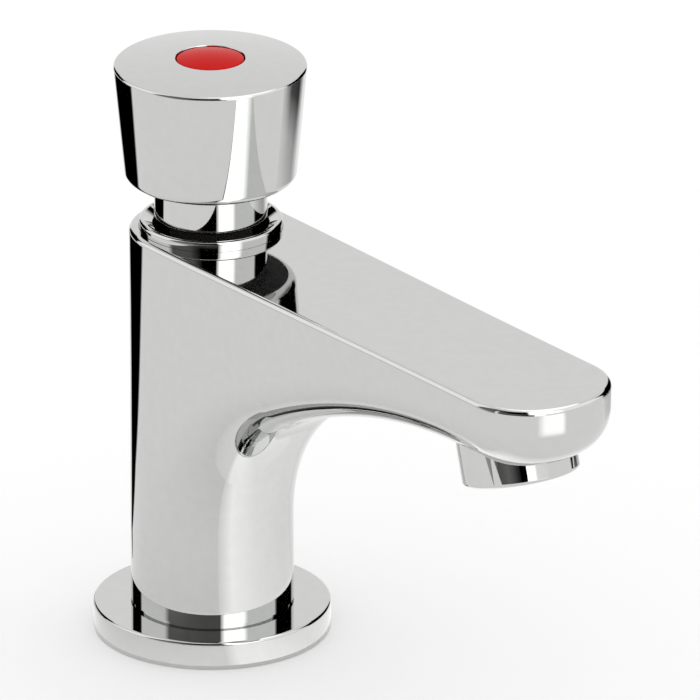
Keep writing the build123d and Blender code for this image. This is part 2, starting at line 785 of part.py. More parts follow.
def piston_clip():
    """Open ring that holds the piston against the spindle's shoulder."""
    low = piston_floor_height - clip_thickness
    clip = ring(clip_radius, stem_radius - clip_groove_depth + fixed_gap, low,
                piston_floor_height)
    mouth = Box(clip_mouth, 2 * clip_radius, 2 * clip_thickness,
                align=(Align.CENTER, Align.MIN, Align.CENTER))
    return clip - Pos(0, 0, low) * mouth


def biarc(start, start_way, end, end_way):
    """Two tangent arcs between two points with given directions."""
    chord = end - start
    ways = start_way + end_way
    a = 2 * (1 - start_way.dot(end_way))
    b = 2 * chord.dot(ways)
    c = -chord.dot(chord)
    reach = (-b + sqrt(b * b - 4 * a * c)) / (2 * a)
    middle = (start + start_way * reach + end - end_way * reach) * (1 / 2)
    first = Edge.make_tangent_arc(start, start_way, middle)
    return [first, Edge.make_tangent_arc(middle, first % 1, end)]


def spring_path():
    """Points and directions of the spring's wire, one every quarter turn."""
    low = web_top + spring_wire / 2 + fixed_gap
    high = piston_floor_height - spring_wire / 2 - fixed_gap
    climb = (high - low) / (spring_quarter_turns * pi / 2)
    path = []
    for index in range(spring_quarter_turns + 1):
        angle = index * pi / 2
        point = Vector(spring_radius * cos(angle), spring_radius * sin(angle),
                       low + climb * angle)
        way = Vector(-spring_radius * sin(angle), spring_radius * cos(angle), climb)
        path.append((point, way.normalized()))
    return path


def return_spring():
    """Coil spring that lifts the piston and the button."""
    path = spring_path()
    edges = []
    for (start, start_way), (end, end_way) in zip(path, path[1:]):
        edges += biarc(start, start_way, end, end_way)
    line = Wire(edges)
    profile = Plane(origin=path[0][0], z_dir=path[0][1]) * Circle(spring_wire / 2)
    pitch = 4 * (path[-1][0].Z - path[0][0].Z) / spring_quarter_turns
    print("least gap between the spring's turns:", round(pitch - spring_wire, 2))
    return sweep(profile, path=line)


def main_washer():
    """Rubber washer that closes on the seat."""
    return ring(washer_radius, stem_end_radius + fixed_gap, retainer_top, washer_top)


def washer_retainer():
    """Brass disc that backs the main washer."""
    return ring(retainer_radius, stem_end_radius + fixed_gap, stem_nut_top, retainer_top)


def stem_nut():
    """Nut on the end of the stem."""
    nut = hexagon(stem_nut_width, stem_nut_top - stem_nut_height, stem_nut_top)
    return nut - disc(stem_end_radius + fixed_gap, stem_nut_top - stem_nut_height - overrun,
                      stem_nut_top + overrun)


def nozzle_housing():
    """Short tilted tube under the tip, screwed into the spout."""
    spigot_top = nozzle_socket_depth + nozzle_spigot_length
    tube = disc(nozzle_radius, 0, nozzle_socket_depth)
    tube = tube + disc(nozzle_spigot_radius, nozzle_socket_depth - fixed_gap, spigot_top)
    tube = tube - disc(nozzle_bore_radius, -overrun, nozzle_bore_depth)
    tube = tube - disc(nozzle_throat_radius, 0, spigot_top + overrun)
    tube = fillet(circles_at(tube, 0, nozzle_radius), nozzle_rim_round)
    return in_nozzle(tube)


def nozzle_washer():
    """Seal on top of the nozzle's spigot."""
    low = nozzle_socket_depth + nozzle_spigot_length
    outer = nozzle_spigot_radius - fixed_gap
    return in_nozzle(ring(outer, outer - nozzle_washer_width, low,
                          low + nozzle_washer_thickness))


def flow_straightener():
    """Plastic disc with a honeycomb of holes that makes the jet even."""
    plate = Circle(nozzle_bore_radius - fixed_gap)
    row_step = straightener_pitch * sin(radians(60))
    for row in range(-straightener_rings, straightener_rings + 1):
        count = 2 * straightener_rings + 1 - abs(row)
        for index in range(count):
            across = (index - (count - 1) / 2) * straightener_pitch
            plate = plate - Pos(across, row * row_step) * Circle(straightener_hole_radius)
    return in_nozzle(extrude(Plane.XY.offset(straightener_recess) * plate,
                             straightener_thickness))


def flow_regulator():
    """Plastic disc that limits the flow, above the straightener."""
    plate = Circle(nozzle_bore_radius - fixed_gap)
    for index in range(regulator_hole_count):
        turn = 360.0 * index / regulator_hole_count
        plate = plate - Rot(0, 0, turn) * Pos(regulator_hole_ring, 0) * Circle(
            regulator_hole_radius)
    return in_nozzle(extrude(Plane.XY.offset(straightener_top) * plate, regulator_thickness))


makers = (
    body, base_flange, base_seal, threaded_tail, tail_o_ring, inlet_strainer, rubber_washer,
    steel_washer, backnut, valve_seat, cartridge_body, cartridge_o_rings, guide_bush,
    spindle_o_ring, metering_pin, collar_nut, push_cap, neck_sleeve, indicator_disc, cap_screw,
    spindle, piston, piston_cup_seal, piston_clip, return_spring, main_washer,
    washer_retainer, stem_nut, nozzle_housing, nozzle_washer, flow_straightener,
    flow_regulator,
)
for maker in makers:
    save(maker(), maker.__name__)
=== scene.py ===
import json
from math import acos, atan2, cos, degrees, hypot, pi, radians, sin, sqrt, tan

import bmesh
import bpy
from mathutils import Matrix, Vector


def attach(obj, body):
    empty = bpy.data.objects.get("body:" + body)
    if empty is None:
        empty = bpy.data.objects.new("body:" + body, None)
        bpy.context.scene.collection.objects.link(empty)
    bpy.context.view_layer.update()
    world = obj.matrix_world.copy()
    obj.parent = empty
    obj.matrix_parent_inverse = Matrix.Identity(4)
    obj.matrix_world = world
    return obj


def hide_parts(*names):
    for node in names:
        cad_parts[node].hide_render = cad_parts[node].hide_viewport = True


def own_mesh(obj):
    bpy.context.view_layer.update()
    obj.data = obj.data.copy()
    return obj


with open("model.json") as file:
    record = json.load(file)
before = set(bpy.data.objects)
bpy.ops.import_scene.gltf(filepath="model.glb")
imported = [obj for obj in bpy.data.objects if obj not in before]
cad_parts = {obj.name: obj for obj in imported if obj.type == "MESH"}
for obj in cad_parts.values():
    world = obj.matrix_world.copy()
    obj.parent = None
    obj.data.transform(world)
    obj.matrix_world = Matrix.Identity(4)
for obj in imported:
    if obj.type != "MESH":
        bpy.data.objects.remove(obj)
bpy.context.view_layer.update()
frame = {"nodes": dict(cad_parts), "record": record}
nodes = frame["nodes"]
MM = 0.001


# Material helpers
HAZE = 0.035        # roughness of the plating
RING_SCALE = 2500.0     # turning marks on brass
RING_STRETCH = 30


def shader(name, color, metallic, roughness, specular=None):
    """New node material, and the nodes and links that its detail is built with."""
    material = bpy.data.materials.new(name)
    material.use_nodes = True
    tree = material.node_tree
    surface = tree.nodes["Principled BSDF"]
    surface.inputs["Base Color"].default_value = (*color, 1)
    surface.inputs["Metallic"].default_value = metallic
    surface.inputs["Roughness"].default_value = roughness
    if specular is not None:
        surface.inputs["Specular IOR Level"].default_value = specular
    material.diffuse_color = (*color, 1)
    return material, tree, surface


def coordinates(tree, scale=(1, 1, 1)):
    """Object coordinates, stretched along the axes."""
    place = tree.nodes.new("ShaderNodeTexCoord")
    mapping = tree.nodes.new("ShaderNodeMapping")
    mapping.inputs["Scale"].default_value = scale
    tree.links.new(place.outputs["Object"], mapping.inputs["Vector"])
    return mapping.outputs["Vector"]


def noise(tree, vector, scale, detail=3.0):
    """Value of a noise texture."""
    node = tree.nodes.new("ShaderNodeTexNoise")
    node.inputs["Scale"].default_value = scale
    node.inputs["Detail"].default_value = detail
    tree.links.new(vector, node.inputs["Vector"])
    return node.outputs["Fac"]


def spread(tree, value, low, high, from_low=0.3, from_high=0.7):
    """Map a 0 to 1 value into another range."""
    node = tree.nodes.new("ShaderNodeMapRange")
    node.inputs["From Min"].default_value = from_low
    node.inputs["From Max"].default_value = from_high
    node.inputs["To Min"].default_value = low
    node.inputs["To Max"].default_value = high
    tree.links.new(value, node.inputs["Value"])
    return node.outputs["Result"]


def tint(tree, value, stops):
    """Colour ramp over a value."""
    node = tree.nodes.new("ShaderNodeValToRGB")
    ramp = node.color_ramp
    while len(ramp.elements) < len(stops):
        ramp.elements.new(0.5)
    for element, (place, color) in zip(ramp.elements, stops):
        element.position = place
        element.color = (*color, 1)
    tree.links.new(value, node.inputs["Fac"])
    return node.outputs["Color"]


def bump(tree, surface, height, strength, distance):
    """Fine relief from a 0 to 1 value."""
    node = tree.nodes.new("ShaderNodeBump")
    node.inputs["Strength"].default_value = strength
    node.inputs["Distance"].default_value = distance
    tree.links.new(height, node.inputs["Height"])
    tree.links.new(node.outputs["Normal"], surface.inputs["Normal"])


def chrome(name, wave=0.3, painted_shade_band=None):
    """Bright plating over a polished casting: faint waves and a very fine haze."""
    material, tree, surface = shader(name, (0.58, 0.585, 0.575), 1.0, 0.03)
    where = coordinates(tree)
    waves = noise(tree, where, 90.0, 1.0)
    film = noise(tree, where, 420.0, 4.0)
    tree.links.new(spread(tree, film, HAZE * 0.4, HAZE * 1.5), surface.inputs["Roughness"])
    tree.links.new(tint(tree, film, [(0.3, (0.57, 0.575, 0.565)), (0.7, (0.59, 0.595, 0.585))]),
                   surface.inputs["Base Color"])
    bump(tree, surface, waves, wave, 0.00001)
    # Painted shade: between the given heights the plating turns dull near black, for the shade
    # under the button's rim.
    if painted_shade_band:
        paint_shade(tree, surface, height_band(tree, *painted_shade_band), (0.02, 0.02, 0.02))
    return material


def height_band(tree, low, high, soft=0.00002):
    """1 between two heights of the part at rest, otherwise 0."""
    place = tree.nodes.new("ShaderNodeSeparateXYZ")
    tree.links.new(coordinates(tree), place.inputs["Vector"])
    rising = spread(tree, place.outputs["Z"], 0.0, 1.0, low - soft, low)
    falling = spread(tree, place.outputs["Z"], 1.0, 0.0, high, high + soft)
    both = tree.nodes.new("ShaderNodeMath")
    both.operation = "MINIMUM"
    tree.links.new(rising, both.inputs[0])
    tree.links.new(falling, both.inputs[1])
    return both.outputs["Value"]


def paint_shade(tree, surface, band, color):
    """Painted shade: dull near black instead of the metal where the band is 1."""
    mix = tree.nodes.new("ShaderNodeMix")
    mix.data_type = "RGBA"
    tree.links.new(band, mix.inputs["Factor"])
    tree.links.new(surface.inputs["Base Color"].links[0].from_socket, mix.inputs["A"])
    mix.inputs["B"].default_value = (*color, 1)
    tree.links.new(mix.outputs["Result"], surface.inputs["Base Color"])
    rough = tree.nodes.new("ShaderNodeMath")
    rough.operation = "MAXIMUM"
    tree.links.new(surface.inputs["Roughness"].links[0].from_socket, rough.inputs[0])
    tree.links.new(band, rough.inputs[1])
    tree.links.new(rough.outputs["Value"], surface.inputs["Roughness"])
    tree.links.new(spread(tree, band, 1.0, 0.0, 0.0, 1.0), surface.inputs["Metallic"])


def brass(name, color, painted_shade_heights=None):
    """Turned brass: fine rings along the axis and a warm, slightly uneven tone."""
    material, tree, surface = shader(name, color, 1.0, 0.28)
    where = coordinates(tree, (1, 1, RING_STRETCH))
    lines = noise(tree, where, RING_SCALE / RING_STRETCH)
    cloud = noise(tree, coordinates(tree), 160.0, 4.0)
    dark = tuple(c * 0.80 for c in color)
    light = tuple(min(c * 1.08, 1) for c in color)
    tree.links.new(tint(tree, cloud, [(0.3, dark), (0.7, light)]), surface.inputs["Base Color"])
    tree.links.new(spread(tree, lines, 0.20, 0.36), surface.inputs["Roughness"])
    bump(tree, surface, lines, 0.25, 0.00003)
    # Painted shade: between the given heights the brass turns dull near black.
    if painted_shade_heights:
        paint_shade(tree, surface, height_band(tree, *painted_shade_heights), (0.02, 0.017, 0.012))
    return material


def steel(name, color, roughness):
    """Plated or pressed steel with short fine scratches."""
    material, tree, surface = shader(name, color, 1.0, roughness)
    lines = noise(tree, coordinates(tree, (1, 6, 1)), 600.0, 5.0)
    dark = tuple(c * 0.88 for c in color)
    tree.links.new(tint(tree, lines, [(0.35, dark), (0.65, color)]), surface.inputs["Base Color"])
    tree.links.new(spread(tree, lines, roughness * 0.8, roughness * 1.25),
                   surface.inputs["Roughness"])
    bump(tree, surface, lines, 0.15, 0.00002)
    return material


def rubber(name, color):
    """Black rubber with a dull bloom and a fine moulded grain."""
    material, tree, surface = shader(name, color, 0.0, 0.6, specular=0.35)
    grain = noise(tree, coordinates(tree), 1800.0, 3.0)
    bloom = noise(tree, coordinates(tree), 120.0, 3.0)
    light = tuple(c + 0.03 for c in color)
    tree.links.new(tint(tree, bloom, [(0.35, color), (0.75, light)]), surface.inputs["Base Color"])
    tree.links.new(spread(tree, grain, 0.5, 0.75), surface.inputs["Roughness"])
    bump(tree, surface, grain, 0.3, 0.00003)
    return material


def plastic(name, color, roughness, specular=None):
    """Moulded plastic with a faint flow pattern and grain."""
    material, tree, surface = shader(name, color, 0.0, roughness, specular=specular)
    grain = noise(tree, coordinates(tree), 1500.0, 2.0)
    flow = noise(tree, coordinates(tree), 130.0, 2.0)
    dark = tuple(c * 0.90 for c in color)
    tree.links.new(tint(tree, flow, [(0.3, dark), (0.7, color)]), surface.inputs["Base Color"])
    tree.links.new(spread(tree, grain, roughness * 0.8, roughness * 1.3),
                   surface.inputs["Roughness"])
    bump(tree, surface, grain, 0.2, 0.00001)
    return material


finishes = {
    "chrome_body": chrome("chrome_body_plate"),
    # The button's plating has painted shade: its flat underside, 100.5 to 100.94 mm high, is near
    # black.
    "chrome_button": chrome("chrome_button_plate", wave=0.2, painted_shade_band=(0.1005, 0.10094)),
    "chrome_trim": chrome("chrome_trim_plate"),
    "chrome_nozzle": chrome("chrome_nozzle_plate"),
    "indicator_red": plastic("indicator_moulding", (0.61, 0.005, 0.003), 0.14, specular=0.04),
    "tail_brass": brass("tail_turned_brass", (0.72, 0.55, 0.28)),
    "nut_brass": brass("nut_milled_brass", (0.72, 0.56, 0.30)),
    # Painted shade on the valve brass: from 60 to 100 mm high it is near black, for the shade
    # where it sits inside the collar and the body.
    "valve_brass": brass("valve_turned_brass", (0.74, 0.57, 0.30), painted_shade_heights=(0.06, 0.1)),
    "washer_steel": steel("washer_zinc_plate", (0.62, 0.62, 0.62), 0.32),
    "strainer_steel": steel("strainer_stainless", (0.66, 0.66, 0.65), 0.25),
    "spring_steel": steel("spring_stainless", (0.60, 0.60, 0.60), 0.22),
    "cartridge_plastic": plastic("cartridge_acetal", (0.85, 0.85, 0.82), 0.35),
    "insert_plastic": plastic("insert_moulding", (0.80, 0.82, 0.83), 0.35),
    "seal_rubber": rubber("seal_black_rubber", (0.05, 0.05, 0.05)),
    "ring_rubber": rubber("ring_nitrile_rubber", (0.035, 0.035, 0.035)),
}
for row in frame["record"]["subparts"]:
    node = nodes[row["node"]]
    node.data.materials.clear()
    node.data.materials.append(finishes[row["material_slot"]])


# Mesh helpers

def add_object(name, data):
    """New object in the scene."""
    made = bpy.data.objects.new(name, data)
    bpy.context.scene.collection.objects.link(made)
    return made


def arc(centre, radius, start, end, steps):
    """Profile points along an arc, in degrees from the +r axis toward +z."""
    points = []
    for step in range(steps + 1):
        angle = radians(start + (end - start) * step / steps)
        points.append((centre[0] + radius * cos(angle), centre[1] + radius * sin(angle)))
    return points


def lathe(name, profile, around=192, closed=False):
    """Revolve a profile of (radius, height) in mm. None in the list marks a sharp corner."""
    points, sharp = [], set()
    for point in profile:
        if point is None:
            sharp.add(len(points) - 1)
        elif not points or hypot(point[0] - points[-1][0], point[1] - points[-1][1]) > 1e-6:
            points.append(point)
    mesh = bpy.data.meshes.new(name)
    made = bmesh.new()
    rings = []
    for radius, height in points:
        if radius < 1e-6:
            rings.append([made.verts.new((0, 0, height * MM))] * around)
        else:
            rings.append([made.verts.new((radius * MM * cos(2 * pi * k / around),
                                          radius * MM * sin(2 * pi * k / around),
                                          height * MM)) for k in range(around)])
    pairs = list(zip(rings, rings[1:]))
    if closed:
        pairs.append((rings[-1], rings[0]))
    for low, high in pairs:
        for k in range(around):
            m = (k + 1) % around
            corners = []
            for vertex in (low[k], low[m], high[m], high[k]):
                if vertex not in corners:
                    corners.append(vertex)
            if len(corners) > 2:
                made.faces.new(corners)
    for index in sharp:
        ring = rings[index]
        for k in range(around):
            pair = (ring[k], ring[(k + 1) % around])
            edge = made.edges.get(pair) if ring[0] != ring[1] else None
            if edge:
                edge.smooth = False
    bmesh.ops.recalc_face_normals(made, faces=made.faces)
    for face in made.faces:
        face.smooth = True
    made.to_mesh(mesh)
    made.free()
    return add_object(name, mesh)


def finish_piece(piece, body, slot_name, node):
    """Give a piece its material and its body, and let it stand for a node."""
    piece.data.materials.append(finishes[slot_name])
    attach(piece, body)
    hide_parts(node)


# Push button, a tapered knob with a soft lower edge and a recess for the indicator
cap_low, cap_high = 100.93, 126.0
cap_radius, crown_rise = 20.18, 1.6
neck_hole, neck_top = 11.85, 109.93
recess_edge, recess_radius, recess_floor = 7.45, 7.25, 123.4
screw_pocket, pocket_floor, screw_hole = 4.3, 117.83, 2.3
draft = 4.46
cap_foot = cap_radius - (cap_high - cap_low) * tan(radians(draft))
low_round, top_round = 2.0, 0.6
low_reach = low_round * tan(radians((90 + draft) / 2))
low_centre = (cap_foot - low_reach, cap_low + low_round)
crown = (cap_radius ** 2 + crown_rise ** 2) / (2 * crown_rise)
crown_centre = cap_high + crown_rise - crown
# The rim's round lies tangent to the side and, from inside, to the crown.
side_normal = (cos(radians(draft)), -sin(radians(draft)))
side_point = (cap_radius - top_round * side_normal[0], cap_high - top_round * side_normal[1])
along = (sin(radians(draft)), cos(radians(draft)))
span = crown - top_round
b_half = side_point[0] * along[0] + (side_point[1] - crown_centre) * along[1]
c_rest = side_point[0] ** 2 + (side_point[1] - crown_centre) ** 2 - span ** 2
step = -b_half + sqrt(b_half ** 2 - c_rest)
top_centre = (side_point[0] + step * along[0], side_point[1] + step * along[1])
rim_angle = degrees(atan2(top_centre[1] - crown_centre, top_centre[0]))
recess_angle = degrees(acos(recess_edge / crown))
recess_high = crown_centre + crown * sin(radians(recess_angle))
cap_profile = [(neck_hole, neck_top), None, (neck_hole, cap_low), None]
cap_profile += arc(low_centre, low_round, -90, -draft, 14)
cap_profile += arc(top_centre, top_round, -draft, rim_angle, 12)
cap_profile += arc((0, crown_centre), crown, rim_angle, recess_angle, 24)[1:]
recess_round = recess_edge - recess_radius
cap_profile += arc((recess_edge, recess_high - recess_round), recess_round, 88, 180, 4)[1:]
cap_profile += [(recess_radius, recess_floor), None, (screw_pocket, recess_floor), None,
                (screw_pocket, pocket_floor), None, (screw_hole, pocket_floor), None,
                (screw_hole, neck_top), None]
finish_piece(lathe("button_cap", cap_profile, closed=True), "plunger", "chrome_button",
             "push_cap")

# Indicator, a glossy domed disc
disc_radius, disc_foot, rise, dome_edge = 7.0, 123.42, 0.7, 127.2
dome = (disc_radius ** 2 + rise ** 2) / (2 * rise)
dome_half = degrees(atan2(disc_radius, dome - rise))
dome_profile = [(0, disc_foot), (disc_radius - 0.1, disc_foot), None,
                (disc_radius, disc_foot + 0.08), (disc_radius, dome_edge - 0.12),
                (disc_radius - 0.04, dome_edge - 0.02)]
dome_profile += arc((0, dome_edge + rise - dome), dome, 90 - dome_half * 0.985, 90, 16)
finish_piece(lathe("button_indicator", dome_profile, 128), "plunger", "indicator_red",
             "indicator_disc")

# Neck
neck_bore, neck_radius, neck_low, neck_round = 9.73, 11.83, 92.4, 0.7
neck_profile = [(neck_bore, neck_top), None, (neck_bore, neck_low), None]
neck_profile += arc((neck_radius - neck_round, neck_low + neck_round), neck_round, -90, 0, 10)
neck_profile += [(neck_radius, neck_top), None]
finish_piece(lathe("button_neck", neck_profile, closed=True), "plunger", "chrome_trim",
             "neck_sleeve")

# Collar nut, with a dish from its rim to its bore
rim_radius, rim_high, rim_round = 15.0, 92.05, 0.7
skirt_radius, skirt_high, skirt_low, collar_bore = 13.68, 89.75, 81.0, 12.2
collar_profile = [(12.3, 90.88), (13.95, 91.93), (14.0, 91.97), (14.08, 92.03), (14.18, rim_high)]
collar_profile += arc((rim_radius - rim_round, rim_high - rim_round), rim_round, 90, 0, 10)
collar_profile += [(rim_radius, skirt_high), None, (skirt_radius, skirt_high), None,
                   (skirt_radius, skirt_low), None, (collar_bore, skirt_low), None,
                   (collar_bore, 90.75), (12.23, 90.82)]
finish_piece(lathe("collar", collar_profile, closed=True), "tap", "chrome_trim",
             "collar_nut")

# Base flange
flange_hole, flange_top, seal_radius, seal_top = 14.02, 6.1, 23.0, 2.0
flange_profile = [(flange_hole, flange_top), None, (24.29, flange_top)]
flange_profile += arc((24.3, 5.4), 0.7, 90, 0, 12)
flange_profile += arc((24.7, 0.3), 0.3, 0, -90, 6)
flange_profile += [(seal_radius, 0.0), None, (seal_radius, seal_top), None,
                   (flange_hole, seal_top), None]
finish_piece(lathe("foot_flange", flange_profile, 256, closed=True), "tap", "chrome_trim",
             "base_flange")

# Threaded tail: a plain turned shank, with a helical G1/2 thread below the deck
TURNS_AROUND = 96
PITCH, CREST, ROOT = 1.8143, 10.4775, 9.3165
THREAD_LOW, THREAD_HIGH = -52.0, -1.0


def thread_radius(height, turn):
    """Radius of the thread's surface at a height, for an angle given in turns."""
    phase = ((height - THREAD_LOW) / PITCH - turn) % 1
    if phase < 0.125:
        share = 1.0
    elif phase < 0.5:
        share = 1 - (phase - 0.125) / 0.375
    elif phase < 0.625:
        share = 0.0
    else:
        share = (phase - 0.625) / 0.375
    fade = min(max((THREAD_HIGH - height) / PITCH, 0.0), 1.0)
    radius = CREST - (CREST - ROOT) * (1 - share) * fade
    return min(radius, ROOT + height - THREAD_LOW)


tail_profile = [(CREST, THREAD_HIGH), (CREST, 2.0), None, (9.97, 2.0), None]
tail_profile += [(9.97, 11.4), None, (8.17, 11.4), None, (8.17, 13.6), None, (9.97, 13.6), None,
                 (9.97, 16.0), None, (6.9, 16.0), None, (6.9, 8.0), None, (6.5, 8.0), None]
tail_profile += [(6.5, THREAD_LOW), None, (ROOT, THREAD_LOW)]
tail = lathe("tail_shank", tail_profile, TURNS_AROUND)
made = bmesh.new()
made.from_mesh(tail.data)
grid = []
for k in range(TURNS_AROUND):
    turn = k / TURNS_AROUND
    line = []
    for j in range(-4, int((THREAD_HIGH - THREAD_LOW) / PITCH) * 4 + 9):
        height = THREAD_LOW + PITCH * ((j // 4) + (0.0, 0.125, 0.5, 0.625)[j % 4] + turn)
        height = min(max(height, THREAD_LOW), THREAD_HIGH)
        radius = thread_radius(height, turn) * MM
        line.append(made.verts.new((radius * cos(2 * pi * turn), radius * sin(2 * pi * turn),
                                    height * MM)))
    grid.append(line)
for k in range(TURNS_AROUND):
    after = (k + 1) % TURNS_AROUND
    shift = 0 if after else 4
    for j in range(len(grid[k]) - 1 - shift):
        made.faces.new((grid[k][j], grid[after][j + shift], grid[after][j + 1 + shift],
                        grid[k][j + 1]))
bmesh.ops.remove_doubles(made, verts=made.verts[:], dist=2e-7)
bmesh.ops.dissolve_degenerate(made, dist=1e-7, edges=made.edges[:])
bmesh.ops.recalc_face_normals(made, faces=made.faces[:])
for edge in made.edges:
    if edge.is_manifold and edge.calc_face_angle(0) > radians(25):
        edge.smooth = False
for face in made.faces:
    face.smooth = True
made.to_mesh(tail.data)
made.free()
finish_piece(tail, "tap", "tail_brass", "threaded_tail")

# Return spring, a coil of wire
SPRING_SEAT, SPRING_ROOM, TRAVEL = 53.5, 14.5, 5.5
COIL, WIRE, COIL_TURNS, STEPS_A_TURN, WIRE_SIDES = 5.0, 0.6, 5.5, 48, 12
low_end = SPRING_SEAT + WIRE + 0.02
climb = (SPRING_ROOM - 2 * WIRE - 0.04) / (2 * pi * COIL_TURNS)
steps = int(COIL_TURNS * STEPS_A_TURN)
points, faces = [], []
for step in range(steps + 1):
    angle = 2 * pi * step / STEPS_A_TURN
    outward = Vector((cos(angle), sin(angle), 0))
    along = Vector((-COIL * sin(angle), COIL * cos(angle), climb)).normalized()
    across = along.cross(outward)
    centre = outward * COIL + Vector((0, 0, low_end + climb * angle))
    for side in range(WIRE_SIDES):
        turn = 2 * pi * side / WIRE_SIDES
        points.append((centre + (outward * cos(turn) + across * sin(turn)) * WIRE) * MM)
for step in range(steps):
    for side in range(WIRE_SIDES):
        here, after = step * WIRE_SIDES, (side + 1) % WIRE_SIDES
        faces.append((here + side, here + after, here + WIRE_SIDES + after,
                      here + WIRE_SIDES + side))
faces.append(tuple(range(WIRE_SIDES)))
faces.append(tuple(range(steps * WIRE_SIDES, (steps + 1) * WIRE_SIDES)))
coil_mesh = bpy.data.meshes.new("coil_spring")
coil_mesh.from_pydata(points, [], faces)
made = bmesh.new()
made.from_mesh(coil_mesh)
bmesh.ops.recalc_face_normals(made, faces=made.faces[:])
for face in made.faces:
    face.smooth = len(face.verts) == 4
made.to_mesh(coil_mesh)
made.free()
coil = add_object("coil_spring", coil_mesh)
finish_piece(coil, "tap", "spring_steel", "return_spring")
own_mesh(coil)

# Outlet nozzle, in its own tilted frame
tilted = (Matrix.Translation((0, -0.10283, 0.06697))
          @ Matrix.Rotation(radians(-15.2), 4, "X"))
nozzle_profile = [(10.3 + 0.15, 0.0)] + arc((12.2 - 0.9, 0.9), 0.9, -90, 0, 12)
nozzle_profile += [(12.2, 11.0), None, (9.9, 11.0), None, (9.9, 14.5), None, (7.6, 14.5), None,
                   (7.6, 8.6), None, (10.3, 8.6), None, (10.3, 0.15)]
nozzle_profile += [(10.34, 0.04)]
nozzle = lathe("outlet_nozzle", nozzle_profile, closed=True)
nozzle.data.transform(tilted)
finish_piece(nozzle, "tap", "chrome_nozzle", "nozzle_housing")


# Body: column, spout and flat top as one smooth surface, built for one half and mirrored

col, half_nose, nose_start, tip = 17.1, 16.2, 96.34, 121.2
corner_r, front_r, belly_r, edge_r = 14.0, 20.0, 10.0, 1.1
under_z, bend_z, foot_z = 73.4, 25.5, 6.7
bend_r, bend_turn, sweep_r = 38.0, 63.0, 128.83
slope = tan(radians(0.7))
collar_seat_r, collar_seat_inner, collar_seat_z = 15.1, 13.7, 89.75
groove_r, groove_z, spigot_r, spigot_z, inlet_r, inlet_z = 16.5, 6.1, 14.0, 2.0, 10.0, 12.0


def top_at(y):
    """Height of the flat top."""
    return 90.05 + slope * y


def wall_at(reach):
    """Half width of the body at a distance in front of the axis."""
    share = min(max(reach / nose_start, 0), 1)
    return half_nose + (col - half_nose) * (1 + cos(pi * share)) / 2


def belly_at(turn):
    """Radius of the rounding between underside and side wall."""
    share = min(turn / 75.0, 1)
    return 16.9 + (belly_r - 16.9) * share * share * (3 - 2 * share)


def under_at(turn):
    """Reach and height of the underside's middle line."""
    if turn <= bend_turn:
        return (col + bend_r * (1 - cos(radians(turn))), bend_z + bend_r * sin(radians(turn)))
    left = radians(90 - turn)
    return nose_start - sweep_r * sin(left), under_z - sweep_r * (1 - cos(left))


def belly_line(turn, steps=26):
    """Points from the middle of the underside out to where the side wall starts."""
    reach, height = under_at(turn)
    rounding = belly_at(turn)
    ahead, up = cos(radians(turn)), sin(radians(turn))
    flat = wall_at(reach) - rounding
    line = [(flat * k / 3, -reach, height) for k in range(3)]
    for k in range(steps + 1):
        angle = radians(90 * k / steps)
        inset, inward = rounding * (1 - sin(angle)), rounding * (1 - cos(angle))
        from_axis = reach - inward * ahead
        line.append((wall_at(from_axis) - inset, -from_axis, height + inward * up))
    return line


def plan_line(lines):
    """Plan of the side wall from the back to the tip: x, y, outward normal and lowest z."""
    plan = []
    for k in range(49):
        angle = radians(90 - 90 * k / 48)
        plan.append((col * cos(angle), col * sin(angle), cos(angle), sin(angle), bend_z))
    for line in lines:
        x, y, z = line[-1]
        lean = (wall_at(-y + 0.05) - wall_at(-y - 0.05)) / 0.1
        size = hypot(1, lean)
        plan.append((x, y, 1 / size, -lean / size, z))
    plan[-1] = (half_nose, -nose_start, 1, 0, under_z + belly_r)
    front = tip - front_r
    side = half_nose - corner_r
    corner = front + sqrt((front_r - corner_r) ** 2 - side ** 2)
    for k in range(1, 8):
        plan.append((half_nose, -nose_start - (corner - nose_start) * k / 8, 1, 0,
                     under_z + belly_r))
    meet = degrees(atan2(side, corner - front))
    for k in range(37):
        angle = radians(90 - (90 - meet) * k / 36)
        plan.append((side + corner_r * sin(angle), -corner - corner_r * cos(angle),
                     sin(angle), -cos(angle), under_z + belly_r))
    for k in range(1, 17):
        angle = radians(meet - meet * k / 16)
        plan.append((front_r * sin(angle), -front - front_r * cos(angle), sin(angle),
                     -cos(angle), under_z + belly_r))
    return plan


